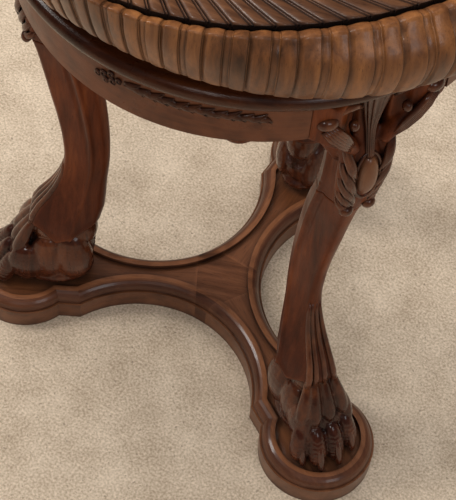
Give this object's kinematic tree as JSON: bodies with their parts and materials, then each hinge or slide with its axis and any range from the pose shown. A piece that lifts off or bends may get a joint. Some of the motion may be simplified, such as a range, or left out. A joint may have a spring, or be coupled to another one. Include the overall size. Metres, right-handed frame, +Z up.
{
  "type": "revolving piano stool",
  "caption": "Round shell-shaped wooden stool seat that turns and rises on an iron screw, over a round frame, carved lion's-paw legs and a three-cornered platform.",
  "frame": {"origin": "on the floor, in the middle of the platform's centre block, on the axis of the screw", "axes": "+Z up along the screw, +Y towards the back leg, +X towards the right"},
  "size_m": [0.3756, 0.3651, 0.4941],
  "materials": {
    "carved_walnut": "dark polished, worn",
    "seat_walnut": "dark polished, worn",
    "plain_beech": "unpolished",
    "dowel_beech": "unpolished",
    "black_iron": "blackened, oiled",
    "screw_iron": "worn, oiled",
    "screw_steel": "dull",
    "oiled_leather": "oiled"
  },
  "bodies": {
    "frame": {"base_core": "carved_walnut", "base_arm_back": "carved_walnut", "base_arm_left": "carved_walnut", "base_arm_right": "carved_walnut", "leg_back": "carved_walnut", "leg_left": "carved_walnut", "leg_right": "carved_walnut", "knee_back_block": "carved_walnut", "knee_left_block": "carved_walnut", "knee_right_block": "carved_walnut", "rail_front": "carved_walnut", "rail_back_left": "carved_walnut", "rail_back_right": "carved_walnut", "top_frame": "carved_walnut", "pendant": "carved_walnut", "corner_block_back": "plain_beech", "corner_block_left": "plain_beech", "corner_block_right": "plain_beech", "base_dowels": "dowel_beech", "knee_dowels": "dowel_beech", "rail_dowels": "dowel_beech", "leg_screws": "screw_steel", "corner_block_screws": "screw_steel", "pendant_screws": "screw_steel", "nut_screws": "screw_steel", "screw_nut": "black_iron"},
    "washer": {"leather_washer": "oiled_leather"},
    "seat": {"spindle": "screw_iron", "stop_collar": "screw_iron", "stop_pin": "screw_iron", "seat_plate": "black_iron", "plate_screws": "screw_steel", "seat_board": "plain_beech", "board_screws": "screw_steel", "seat_rim": "seat_walnut", "seat_shell": "seat_walnut"}
  },
  "joints": [
    {"name": "seat_turn", "type": "hinge", "parent": "frame", "child": "washer", "pos_m": [0, 0, 0.4243], "axis": [0, 0, 1], "range_deg": [-1080, 4320]},
    {"name": "seat_rise", "type": "slide", "parent": "washer", "child": "seat", "axis": [0, 0, 1], "range_m": [-0.018, 0.072]}
  ],
  "couplings": [
    {"joint": "seat_rise", "follows": "seat_turn", "m_per_rad": 0.00095493}
  ]
}
